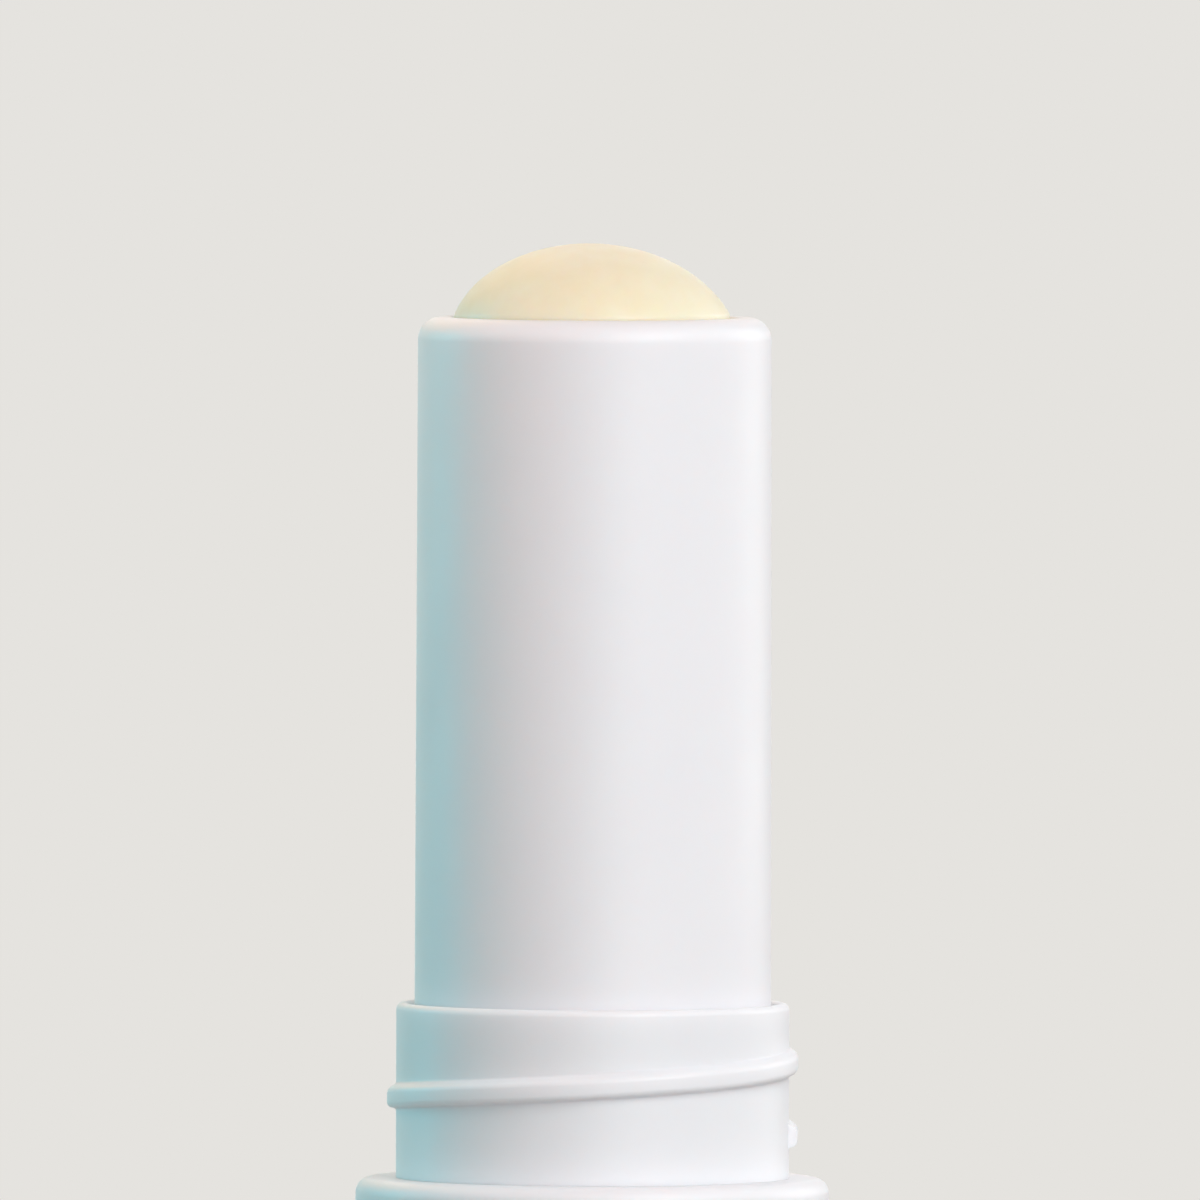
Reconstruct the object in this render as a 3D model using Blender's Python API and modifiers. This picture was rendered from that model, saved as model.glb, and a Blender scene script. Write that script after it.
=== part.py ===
# Twist-up lip balm stick with its cap off, standing on its base.
# Origin at the centre of the base's foot, +Z up, and the view from -Y is the front.
# A screw spindle is fixed in the base. The tube turns in the base's neck, and carries round
# a cup keyed to it, whose nut climbs the spindle and lifts the balm.

import math

import bmesh
import bpy


# Driving dimensions, in metres

balm_radius = 0.0058
balm_clearance = 0.00013
dome_rise = 0.0031
dome_sphere_radius = 0.0072
dome_edge_round = 0.0005
dome_sink = 0.0017

tube_wall = 0.001495
tube_draft = 0.000065
tube_reach = 0.02880
rim_round = 0.00095
rim_inner_round = 0.00018
tube_foot_chamfer = 0.0003

neck_clearance = 0.00017
neck_wall = 0.0006
neck_height = 0.00735
neck_foot_chamfer = 0.0002

cap_thread_lead = 0.00305
cap_thread_height = 0.00038
cap_thread_root_width = 0.00107
cap_thread_crest_width = 0.00071
cap_thread_crest_drop = 0.00010
cap_thread_rise = 0.00188
cap_thread_end_drop = 0.00157
cap_thread_bury = 0.00020

base_height = 0.0260
base_wall = 0.00157
shoulder_round = 0.00065
foot_round = 0.0005
sleeve_clearance = 0.00012
snap_height = 0.00022
snap_width = 0.0009
snap_drop = 0.0060

foot_recess = 0.0003
plug_flange_step = 0.00034
plug_floor = 0.0012
plug_height = 0.0035
plug_rim_wall = 0.0010
plug_rib_width = 0.0009
plug_rib_drop = 0.0006
socket_wall = 0.0012
socket_depth = 0.0032

key_width = 0.0024
key_height = 0.0015
key_thickness = 0.00045

seat_gap = 0.0003
side_gap = 0.00015
cut_overrun = 0.0005
merge_distance = 0.000001

spindle_flange = 0.0008
spindle_head_height = 0.0038
head_clearance = 0.00015
hex_radius = 0.0026
bead_bite = 0.0002
bead_width = 0.0008
bead_rise = 0.0009
core_radius = 0.00145
core_flare = 0.0006
tip_length = 0.0010
tip_radius = 0.0009

screw_lead = 0.0040
screw_height = 0.00075
screw_root_width = 0.0017
screw_crest_width = 0.0010
screw_bury = 0.0003
screw_engagement = 0.0045
screw_foot_gap = 0.0012
screw_clearance = 0.0002

ring_section_radius = 0.0005
ring_top_drop = 0.0006

cup_clearance = 0.00015
cup_wall = 0.00065
cup_depth = 0.0050
cup_floor = 0.0010
cup_corner_chamfer = 0.0005
cup_stop_drop = 0.00295
nut_length = 0.0060
nut_wall = 0.0009
park_gap = 0.0005
grip_depth = 0.0002
grip_width = 0.0008
grip_rise = 0.0020

lug_width = 0.0012
lug_height = 0.00035
lug_length = 0.0050
lug_bury = 0.0003
guide_groove_depth = 0.0005

spindle_bore_clearance = 0.00025
spindle_tip_gap = 0.0004

# Counts, angles and shares

outer_steps = 56
balm_steps = 48
inner_steps = 32
corner_steps = 4
lip_steps = 6
dome_steps = 9
small_round_steps = 2
ring_steps = 36
ring_section_steps = 8
cap_thread_steps = 56
cap_thread_start_degrees = -6.5
cap_thread_fade_turns = 0.06
screw_steps = 16
screw_fade_turns = 0.12
guide_count = 4
key_count = 4
key_turn_degrees = 45
sharp_degrees = 30
rib_count = 6
fade_floor_share = -0.4

# Radii, each worked out from the piece inside it

bore_radius = balm_radius + balm_clearance
tube_top_radius = bore_radius + tube_wall
tube_foot_radius = tube_top_radius + tube_draft
neck_bore = tube_foot_radius + neck_clearance
neck_radius = neck_bore + neck_wall
base_bore = neck_radius + sleeve_clearance
base_radius = base_bore + base_wall
guide_groove_radius = bore_radius + guide_groove_depth

screw_radius = core_radius + screw_height
head_radius = bore_radius - head_clearance
flange_radius = tube_foot_radius
bead_radius = bore_radius + bead_bite
bead_groove_radius = bead_radius + side_gap
ring_radius = bore_radius - side_gap - ring_section_radius
ring_seat_radius = ring_radius - ring_section_radius - side_gap

cup_radius = bore_radius - cup_clearance
cup_inner_radius = cup_radius - cup_wall
nut_bore = core_radius + screw_clearance
nut_groove_radius = screw_radius + screw_clearance
nut_radius = nut_groove_radius + nut_wall
balm_foot_radius = cup_inner_radius - side_gap
balm_bore_radius = screw_radius + spindle_bore_clearance

plug_radius = base_bore - sleeve_clearance
plug_flange_radius = plug_radius + plug_flange_step
plug_rim_bore = plug_radius - plug_rim_wall
socket_radius = hex_radius + side_gap
boss_radius = socket_radius + socket_wall

# Heights, from the foot upwards

plug_low = foot_recess
plug_floor_top = plug_low + plug_floor
plug_top = plug_floor_top + plug_height
socket_low = plug_top - socket_depth
flange_low = plug_top + seat_gap
flange_top = flange_low + spindle_flange
head_top = flange_top + spindle_head_height
bead_low = flange_top + bead_rise
bead_top = bead_low + bead_width
ring_seat_top = head_top - ring_top_drop
ring_height = ring_seat_top - side_gap - ring_section_radius
ring_seat_low = ring_height - ring_section_radius - side_gap

shoulder_height = base_height
lip_height = shoulder_height + neck_height
cap_thread_turns = (neck_height - cap_thread_rise - cap_thread_end_drop) / cap_thread_lead
rim_height = lip_height + tube_reach
neck_low = plug_top + seat_gap
tube_low = flange_top + seat_gap
snap_height_above_foot = shoulder_height - snap_drop

# The photographed pose: the dome's edge stands at the rim, and the cup has climbed this far

retract_travel = dome_rise + dome_sink
nut_low = head_top + park_gap + retract_travel
cup_low = nut_low + nut_length
cup_floor_top = cup_low + cup_floor
cup_top = cup_floor_top + cup_depth
raise_travel = rim_height - cup_stop_drop - cup_top
lug_top = cup_top - cup_corner_chamfer
lug_low = lug_top - lug_length
guide_groove_top = lug_top + raise_travel + seat_gap

# The spindle's helix crosses angle zero at this height
helix_zero = head_top + screw_foot_gap
screw_top = nut_low + raise_travel + screw_engagement
spindle_top = screw_top + tip_length
balm_low = cup_floor_top + side_gap
balm_step = cup_top + side_gap
balm_top = rim_height + dome_rise
balm_bore_top = spindle_top + retract_travel + spindle_tip_gap


# Helpers

def clear_scene():
    for item in list(bpy.data.objects):
        bpy.data.objects.remove(item, do_unlink=True)


def new_collection(name):
    collection = bpy.data.collections.new(name)
    bpy.context.scene.collection.children.link(collection)
    return collection


def new_material(name, colour, roughness):
    material = bpy.data.materials.new(name)
    material.use_nodes = True
    shader = material.node_tree.nodes["Principled BSDF"]
    shader.inputs["Base Color"].default_value = (*colour, 1.0)
    shader.inputs["Roughness"].default_value = roughness
    shader.inputs["Metallic"].default_value = 0.0
    return material


def new_object(name, bm, collection, material=None):
    mesh = bpy.data.meshes.new(name)
    bm.to_mesh(mesh)
    bm.free()
    piece = bpy.data.objects.new(name, mesh)
    collection.objects.link(piece)
    if material:
        mesh.materials.append(material)
    return piece


def new_cutter(name, bm):
    cutter = new_object(name, bm, cutters)
    cutter.hide_render = True
    cutter.display_type = "WIRE"
    return cutter


# Points of an arc, as pairs of radius and height, angles in degrees
def arc(centre_radius, centre_height, radius, start, end, steps):
    points = []
    for step in range(steps + 1):
        angle = math.radians(start + (end - start) * step / steps)
        points.append((centre_radius + radius * math.cos(angle), centre_height + radius * math.sin(angle)))
    return points


# A turned piece: the outline runs down its outer side and, if closed, back up its inner side
def turned_piece(name, outline, steps, closed, material):
    bm = bmesh.new()
    corners = [bm.verts.new((radius, 0, height)) for radius, height in outline]
    for first, second in zip(corners, corners[1:]):
        bm.edges.new((first, second))
    if closed:
        bm.edges.new((corners[-1], corners[0]))
    piece = new_object(name, bm, parts, material)
    screw = piece.modifiers.new("Turned", "SCREW")
    screw.axis = "Z"
    screw.angle = math.tau
    screw.steps = steps
    screw.render_steps = steps
    screw.use_merge_vertices = True
    screw.merge_threshold = merge_distance
    screw.use_smooth_shade = False
    return piece


def boolean(piece, other, operation):
    modifier = piece.modifiers.new(other.name, "BOOLEAN")
    modifier.operation = operation
    modifier.solver = "EXACT"
    modifier.object = other


# Blocks set round the axis: each spans inner to outer radius, low to high, and a width
def blocks_round_axis(name, count, turn_degrees, inner, outer, low, high, width):
    bm = bmesh.new()
    for index in range(count):
        angle = math.radians(turn_degrees) + math.tau * index / count
        block = bmesh.ops.create_cube(bm, size=1)["verts"]
        bmesh.ops.scale(bm, verts=block, vec=(outer - inner, width, high - low))
        bmesh.ops.translate(bm, verts=block, vec=((inner + outer) / 2, 0, (low + high) / 2))
        turn = math.cos(angle), math.sin(angle)
        for vertex in block:
            x, y, z = vertex.co
            vertex.co = (x * turn[0] - y * turn[1], x * turn[1] + y * turn[0], z)
    return new_cutter(name, bm)


# A six-sided prism on the axis
def hexagon(name, radius, low, high):
    bm = bmesh.new()
    prism = bmesh.ops.create_cone(
        bm, cap_ends=True, segments=6, radius1=radius, radius2=radius, depth=high - low)["verts"]
    bmesh.ops.translate(bm, verts=prism, vec=(0, 0, (low + high) / 2))
    return new_cutter(name, bm)


# A right-handed thread as one closed sweep of a four-cornered section.
# The flanks run on a buried depth below the root radius, and the crest sinks below the root
# at a faded end. The helix crosses angle zero at helix_height, and its steps line up with
# the facets of the round piece it is joined to or cut from.
def thread(name, form, turns, first_turn, helix_height, steps_per_turn, fades):
    root_radius, height, root_width, crest_width, crest_drop, bury, lead = form
    flank = (root_width - crest_width) / 2
    spread = flank * bury / height
    first_step = round(first_turn * steps_per_turn)
    steps = round(turns * steps_per_turn)
    bm = bmesh.new()
    rings = []
    for step in range(steps + 1):
        along = step / steps_per_turn
        share = 1
        if fades[0]:
            share = min(share, fade_floor_share + (1 - fade_floor_share) * along / fades[0])
        if fades[1]:
            left = (steps - step) / steps_per_turn
            share = min(share, fade_floor_share + (1 - fade_floor_share) * left / fades[1])
        turn = (first_step + step) / steps_per_turn
        angle = math.tau * turn
        centre = helix_height + lead * turn
        crest_radius = root_radius + height * share
        crest_half = root_width / 2 - flank * share
        drop = crest_drop * share
        section = [
            (root_radius - bury, centre - root_width / 2 - spread),
            (crest_radius, centre - crest_half - drop),
            (crest_radius, centre + crest_half - drop),
            (root_radius - bury, centre + root_width / 2 + spread),
        ]
        rings.append([
            bm.verts.new((radius * math.cos(angle), radius * math.sin(angle), z)) for radius, z in section])
    for ring, following in zip(rings, rings[1:]):
        for index in range(len(ring)):
            after = (index + 1) % len(ring)
            bm.faces.new((ring[index], following[index], following[after], ring[after]))
    bm.faces.new(rings[0])
    bm.faces.new(reversed(rings[-1]))
    bmesh.ops.recalc_face_normals(bm, faces=bm.faces)
    return new_cutter(name, bm)


# The pieces

def make_balm(material):
    # A spherical crown that rounds over a tighter edge into the straight side
    sphere_height = balm_top - dome_sphere_radius
    edge_centre = balm_radius - dome_edge_round
    edge_reach = dome_sphere_radius - dome_edge_round
    edge_height = sphere_height + math.sqrt(edge_reach ** 2 - edge_centre ** 2)
    join_degrees = math.degrees(math.atan2(edge_height - sphere_height, edge_centre))
    crown = arc(0, sphere_height, dome_sphere_radius, 90, join_degrees, dome_steps)
    edge = arc(edge_centre, edge_height, dome_edge_round, join_degrees, 0, small_round_steps)
    grip_low = balm_low + grip_rise
    outline = [(0, balm_top)] + crown[1:] + edge[1:] + [
        (balm_radius, balm_step),
        (balm_foot_radius, balm_step),
        (balm_foot_radius, grip_low + grip_width),
        (balm_foot_radius + grip_depth, grip_low + grip_width - grip_depth),
        (balm_foot_radius + grip_depth, grip_low + grip_depth),
        (balm_foot_radius, grip_low),
        (balm_foot_radius, balm_low),
        (balm_bore_radius, balm_low),
        (balm_bore_radius, balm_bore_top - balm_bore_radius + tip_radius),
        (tip_radius, balm_bore_top),
        (0, balm_bore_top),
    ]
    return turned_piece("balm", outline, balm_steps, False, material)


def make_balm_cup(material):
    # The cup's wall is undercut where the balm's foot grips it
    grip_low = balm_low + grip_rise
    grip_radius = cup_inner_radius + grip_depth
    outline = [
        (cup_radius, cup_top),
        (cup_radius, cup_low + cup_corner_chamfer),
        (cup_radius - cup_corner_chamfer, cup_low),
        (nut_radius, cup_low),
        (nut_radius, nut_low),
        (nut_bore, nut_low),
        (nut_bore, cup_floor_top),
        (cup_inner_radius, cup_floor_top),
        (cup_inner_radius, grip_low),
        (grip_radius, grip_low + grip_depth),
        (grip_radius, grip_low + grip_width - grip_depth),
        (cup_inner_radius, grip_low + grip_width),
        (cup_inner_radius, cup_top),
    ]
    cup = turned_piece("balm_cup", outline, inner_steps, True, material)
    lugs = blocks_round_axis(
        "cup_lugs", guide_count, 0, cup_radius - lug_bury, bore_radius + lug_height,
        lug_low, lug_top, lug_width)
    boolean(cup, lugs, "UNION")
    # The nut's thread follows the spindle's helix, wider all round by the clearance
    form = (
        nut_bore, nut_groove_radius - nut_bore, screw_root_width + 2 * screw_clearance,
        screw_crest_width + 2 * screw_clearance, 0, screw_bury, screw_lead)
    first_turn = (nut_low - screw_lead - helix_zero) / screw_lead
    turns = (cup_floor_top - nut_low) / screw_lead + 2
    nut_thread = thread("nut_thread", form, turns, first_turn, helix_zero, screw_steps, (0, 0))
    boolean(cup, nut_thread, "DIFFERENCE")
    return cup


def make_guide_tube(material):
    rim = arc(tube_top_radius - rim_round, rim_height - rim_round, rim_round, 90, 0, corner_steps)
    inner_rim = arc(
        bore_radius + rim_inner_round, rim_height - rim_inner_round, rim_inner_round, 180, 90,
        small_round_steps)
    groove_low = bead_low - side_gap
    groove_top = bead_top + side_gap
    slope = bead_groove_radius - bore_radius
    outline = rim + [
        (tube_foot_radius, lip_height),
        (tube_foot_radius, tube_low + tube_foot_chamfer),
        (tube_foot_radius - tube_foot_chamfer, tube_low),
        (bore_radius + tube_foot_chamfer, tube_low),
        (bore_radius, tube_low + tube_foot_chamfer),
        (bore_radius, groove_low),
        (bead_groove_radius, groove_low),
        (bead_groove_radius, groove_top),
        (bore_radius, groove_top + slope),
    ] + inner_rim
    tube = turned_piece("guide_tube", outline, outer_steps, True, material)
    grooves = blocks_round_axis(
        "guide_grooves", guide_count, 0, bore_radius - cut_overrun, guide_groove_radius,
        tube_low - cut_overrun, guide_groove_top, lug_width + 2 * side_gap)
    boolean(tube, grooves, "DIFFERENCE")
    return tube


def make_threaded_neck(material):
    lip = arc(neck_radius - neck_wall / 2, lip_height - neck_wall / 2, neck_wall / 2, 180, 0, lip_steps)
    snap_low = snap_height_above_foot
    outline = lip + [
        (neck_radius, snap_low + snap_width),
        (neck_radius + snap_height, snap_low + snap_width),
        (neck_radius + snap_height, snap_low + snap_height),
        (neck_radius, snap_low),
        (neck_radius, neck_low + neck_foot_chamfer),
        (neck_radius - neck_foot_chamfer, neck_low),
        (neck_bore, neck_low),
    ]
    neck = turned_piece("threaded_neck", outline, outer_steps, True, material)
    form = (
        neck_radius, cap_thread_height, cap_thread_root_width, cap_thread_crest_width,
        cap_thread_crest_drop, cap_thread_bury, cap_thread_lead)
    # The cap thread starts square on the right-hand side and fades out below the lip at the back
    cap_thread = thread(
        "cap_thread", form, cap_thread_turns, cap_thread_start_degrees / 360,
        shoulder_height + cap_thread_rise, cap_thread_steps, (0, cap_thread_fade_turns))
    boolean(neck, cap_thread, "UNION")
    notches = blocks_round_axis(
        "key_notches", key_count, key_turn_degrees, neck_bore - cut_overrun, neck_radius + cut_overrun,
        neck_low - cut_overrun, plug_top + key_height + seat_gap, key_width + 2 * side_gap)
    boolean(neck, notches, "DIFFERENCE")
    return neck


def make_base_shell(material):
    counterbore = plug_flange_radius + sleeve_clearance
    ledge = plug_floor_top + seat_gap
    groove_low = snap_height_above_foot - side_gap
    groove_top = groove_low + snap_width + 2 * side_gap
    groove_radius = base_bore + snap_height
    shoulder = arc(
        base_radius - shoulder_round, base_height - shoulder_round, shoulder_round, 90, 0, corner_steps)
    foot = arc(base_radius - foot_round, foot_round, foot_round, 0, -90, corner_steps)
    outline = shoulder + foot + [
        (counterbore, 0),
        (counterbore, ledge),
        (base_bore, ledge),
        (base_bore, groove_low),
        (groove_radius, groove_low + snap_height),
        (groove_radius, groove_top),
        (base_bore, groove_top),
        (base_bore, base_height),
    ]
    return turned_piece("base_shell", outline, outer_steps, True, material)


def make_screw_spindle(material):
    bead_slope = bead_radius - head_radius
    outline = [
        (0, spindle_top),
        (tip_radius, spindle_top),
        (core_radius, screw_top),
        (core_radius, head_top + core_flare),
        (core_radius + core_flare, head_top),
        (head_radius, head_top),
        (head_radius, ring_seat_top),
        (ring_seat_radius, ring_seat_top),
        (ring_seat_radius, ring_seat_low),
        (head_radius, ring_seat_low),
        (head_radius, bead_top),
        (bead_radius, bead_top - bead_slope),
        (bead_radius, bead_low),
        (head_radius, bead_low),
        (head_radius, flange_top),
        (flange_radius, flange_top),
        (flange_radius, flange_low),
        (0, flange_low),
    ]
    spindle = turned_piece("screw_spindle", outline, inner_steps, False, material)
    form = (
        core_radius, screw_height, screw_root_width, screw_crest_width, 0, screw_bury, screw_lead)
    turns = (screw_top - head_top - 2 * screw_foot_gap) / screw_lead
    screw = thread(
        "spindle_thread", form, turns, 0, helix_zero, screw_steps,
        (screw_fade_turns, screw_fade_turns))
    boolean(spindle, screw, "UNION")
    foot = hexagon("spindle_foot", hex_radius, socket_low + seat_gap, flange_low + spindle_flange / 2)
    boolean(spindle, foot, "UNION")
    return spindle


def make_friction_ring(material):
    bpy.ops.mesh.primitive_torus_add(
        major_radius=ring_radius, minor_radius=ring_section_radius,
        major_segments=ring_steps, minor_segments=ring_section_steps, location=(0, 0, ring_height))
    ring = bpy.context.object
    ring.name = "friction_ring"
    ring.data.name = "friction_ring"
    for collection in list(ring.users_collection):
        collection.objects.unlink(ring)
    parts.objects.link(ring)
    ring.data.materials.append(material)
    return ring


def make_foot_plug(material):
    outline = [
        (0, plug_top),
        (boss_radius, plug_top),
        (boss_radius, plug_floor_top),
        (plug_rim_bore, plug_floor_top),
        (plug_rim_bore, plug_top),
        (plug_radius, plug_top),
        (plug_radius, plug_floor_top),
        (plug_flange_radius, plug_floor_top),
        (plug_flange_radius, plug_low),
        (0, plug_low),
    ]
    plug = turned_piece("foot_plug", outline, inner_steps, False, material)
    key_inner = neck_bore + side_gap / 2
    keys = blocks_round_axis(
        "plug_keys", key_count, key_turn_degrees, key_inner, key_inner + key_thickness,
        plug_top - cut_overrun, plug_top + key_height, key_width)
    boolean(plug, keys, "UNION")
    ribs = blocks_round_axis(
        "plug_ribs", rib_count, 0, boss_radius - cut_overrun, plug_rim_bore + plug_rim_wall / 2,
        plug_floor_top - cut_overrun, plug_top - plug_rib_drop, plug_rib_width)
    boolean(plug, ribs, "UNION")
    socket = hexagon("hex_socket", socket_radius, socket_low, plug_top + cut_overrun)
    boolean(plug, socket, "DIFFERENCE")
    return plug


# Each moving piece hangs from an empty on its joint's axis, which is the stick's own axis
def carry(name, height, pieces, parent=None):
    carrier = bpy.data.objects.new(name, None)
    parts.objects.link(carrier)
    carrier.location = (0, 0, height)
    if parent:
        carrier.parent = parent
        carrier.location = (0, 0, height - parent.location.z)
    for piece in pieces:
        piece.parent = carrier
        piece.location = (0, 0, piece.location.z - height)
    return carrier


def smooth_round_faces(pieces):
    for piece in pieces:
        piece.data.shade_smooth()
        piece.data.set_sharp_from_angle(angle=math.radians(sharp_degrees))


# The stick

clear_scene()
parts = new_collection("lip_balm_stick")
cutters = new_collection("cutters")

white_plastic = new_material("white_polypropylene", (0.87, 0.87, 0.88), 0.34)
balm_wax = new_material("pale_yellow_balm", (0.88, 0.76, 0.50), 0.45)
acetal = new_material("natural_acetal", (0.80, 0.80, 0.77), 0.35)
silicone = new_material("clear_silicone", (0.72, 0.73, 0.74), 0.5)

balm = make_balm(balm_wax)
balm_cup = make_balm_cup(acetal)
guide_tube = make_guide_tube(white_plastic)
threaded_neck = make_threaded_neck(white_plastic)
base_shell = make_base_shell(white_plastic)
screw_spindle = make_screw_spindle(acetal)
friction_ring = make_friction_ring(silicone)
foot_plug = make_foot_plug(white_plastic)

twist = carry("tube_twist_axis", tube_low, [guide_tube])
rise = carry("balm_rise_axis", cup_low, [balm_cup, balm], twist)
smooth_round_faces(
    [balm, balm_cup, guide_tube, threaded_neck, base_shell, screw_spindle, friction_ring, foot_plug])
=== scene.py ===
import math

import bpy
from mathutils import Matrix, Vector


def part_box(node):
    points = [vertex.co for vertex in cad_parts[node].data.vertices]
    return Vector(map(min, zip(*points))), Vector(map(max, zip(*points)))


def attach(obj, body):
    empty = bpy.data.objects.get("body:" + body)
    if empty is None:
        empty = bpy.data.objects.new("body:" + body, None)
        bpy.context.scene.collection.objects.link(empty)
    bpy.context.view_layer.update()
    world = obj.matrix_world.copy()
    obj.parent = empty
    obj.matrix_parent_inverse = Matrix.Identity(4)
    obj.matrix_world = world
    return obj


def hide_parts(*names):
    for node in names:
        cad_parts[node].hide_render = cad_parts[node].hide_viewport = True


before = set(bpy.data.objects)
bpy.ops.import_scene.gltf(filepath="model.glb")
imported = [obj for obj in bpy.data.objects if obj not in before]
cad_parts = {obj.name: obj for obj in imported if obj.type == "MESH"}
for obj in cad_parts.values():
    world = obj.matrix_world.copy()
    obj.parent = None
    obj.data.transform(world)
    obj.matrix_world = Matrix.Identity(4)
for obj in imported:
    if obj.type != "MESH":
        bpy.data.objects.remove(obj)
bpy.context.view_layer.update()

# Twist-up lip balm stick with its cap off. Sizes are in millimetres and angles in degrees.


def mm(length):
    return length * 0.001


# outer radius, lowest and highest point of a CAD node, in millimetres
def nodeSizes(node):
    low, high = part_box(node)
    return high.x * 1000, low.z * 1000, high.z * 1000


def deselectAll():
    if bpy.context.mode != "OBJECT":
        bpy.ops.object.mode_set(mode="OBJECT")
    bpy.ops.object.select_all(action="DESELECT")


def pick(piece):
    deselectAll()
    piece.select_set(True)
    bpy.context.view_layer.objects.active = piece


def applyModifier(piece, modifier):
    pick(piece)
    bpy.ops.object.modifier_apply(modifier=modifier.name)


# Outlines are lists of (radius, height)

turning = {
    "arcDegrees": 7.5,        # one step along a rounded corner
    "fewestArcSteps": 2,
    "mergeDistance": 0.0005,
}


def arcPoints(centre, radius, start, end, steps):
    points = []
    for step in range(steps + 1):
        angle = math.radians(start + (end - start) * step / steps)
        points.append((centre[0] + radius * math.cos(angle), centre[1] + radius * math.sin(angle)))
    return points


# a corner given as (radius, height, round) becomes an arc that meets both its sides smoothly
def roundedOutline(corners):
    points = []
    for index, corner in enumerate(corners):
        here = Vector(corner[:2])
        if len(corner) == 2:
            points.append(tuple(here))
            continue
        towardsLast = (Vector(corners[index - 1][:2]) - here).normalized()
        towardsNext = (Vector(corners[(index + 1) % len(corners)][:2]) - here).normalized()
        half = towardsLast.angle(towardsNext) / 2
        centre = here + (towardsLast + towardsNext).normalized() * corner[2] / math.sin(half)
        first = here + towardsLast * corner[2] / math.tan(half) - centre
        last = here + towardsNext * corner[2] / math.tan(half) - centre
        start = math.degrees(math.atan2(first.y, first.x))
        turn = (math.degrees(math.atan2(last.y, last.x)) - start + 180) % 360 - 180
        steps = max(turning["fewestArcSteps"], round(abs(turn) / turning["arcDegrees"]))
        points += arcPoints(centre, corner[2], start, start + turn, steps)
    return points


# an outline pulled out point by point from one vertex, in the plane y = 0
def pullOutline(name, points):
    start = (mm(points[0][0]), 0, mm(points[0][1]))
    deselectAll()
    bpy.ops.mesh.primitive_plane_add(size=mm(1), location=start)
    piece = bpy.context.object
    piece.name = name
    bpy.ops.object.transform_apply(location=True, rotation=True, scale=True)
    bpy.ops.object.mode_set(mode="EDIT")
    bpy.ops.mesh.select_all(action="SELECT")
    bpy.ops.mesh.merge(type="CENTER")
    for here, there in zip(points, points[1:]):
        step = (mm(there[0] - here[0]), 0, mm(there[1] - here[1]))
        bpy.ops.mesh.extrude_vertices_move(TRANSFORM_OT_translate={"value": step})
    return piece


# the outline spun once round the stick's axis, closed and turned outwards
def turnPiece(name, points, steps):
    piece = pullOutline(name, points)
    bpy.ops.mesh.select_all(action="SELECT")
    bpy.ops.mesh.spin(steps=steps, angle=math.tau, center=(0, 0, 0), axis=(0, 0, 1))
    bpy.ops.mesh.select_all(action="SELECT")
    bpy.ops.mesh.remove_doubles(threshold=mm(turning["mergeDistance"]))
    bpy.ops.mesh.normals_make_consistent(inside=False)
    deselectAll()
    return piece


# blocks set round the axis as one object, each from inner to outer radius and from low to high
def blocksRound(name, count, firstDegrees, inner, outer, low, high, width):
    blocks = []
    for index in range(count):
        angle = math.radians(firstDegrees) + math.tau * index / count
        middle = mm(inner + outer) / 2
        deselectAll()
        bpy.ops.mesh.primitive_cube_add(
            size=1, scale=(mm(outer - inner), mm(width), mm(high - low)), rotation=(0, 0, angle),
            location=(middle * math.cos(angle), middle * math.sin(angle), mm(low + high) / 2))
        blocks.append(bpy.context.object)
    pick(blocks[0])
    for block in blocks:
        block.select_set(True)
    bpy.ops.object.join()
    bpy.ops.object.transform_apply(location=True, rotation=True, scale=True)
    blocks[0].name = name
    return blocks[0]


# an upright bar with this many flat sides, on the axis
def flatSidedBar(sides, radius, low, depth):
    deselectAll()
    bpy.ops.mesh.primitive_cylinder_add(
        vertices=sides, radius=mm(radius), depth=mm(depth), location=(0, 0, mm(low + depth / 2)))
    return bpy.context.object


def soften(piece, width, segments):
    bevel = piece.modifiers.new("soften", "BEVEL")
    bevel.width = mm(width)
    bevel.segments = segments
    bevel.limit_method = "ANGLE"
    applyModifier(piece, bevel)


def combine(piece, other, operation):
    modifier = piece.modifiers.new(other.name, "BOOLEAN")
    modifier.operation = operation
    modifier.solver = "EXACT"
    modifier.object = other
    applyModifier(piece, modifier)
    bpy.data.objects.remove(other, do_unlink=True)


# a thread's section on a wall of this radius, its root filleted and its crest rounded
def threadSection(wall, middle, thread):
    root = wall - thread["skin"]
    back = wall - thread["bury"]
    crest = wall + thread["height"]
    low = middle - thread["rootBelow"]
    high = middle + thread["rootAbove"]
    return roundedOutline([
        (back, low - thread["tail"]),
        (root, low - thread["tail"]),
        (root, low, thread["fillet"]),
        (crest, middle - thread["crestHalf"], thread["crestLowRound"]),
        (crest, middle + thread["crestHalf"], thread["crestHighRound"]),
        (root, high, thread["fillet"]),
        (root, high + thread["tail"]),
        (back, high + thread["tail"]),
    ])


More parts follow.
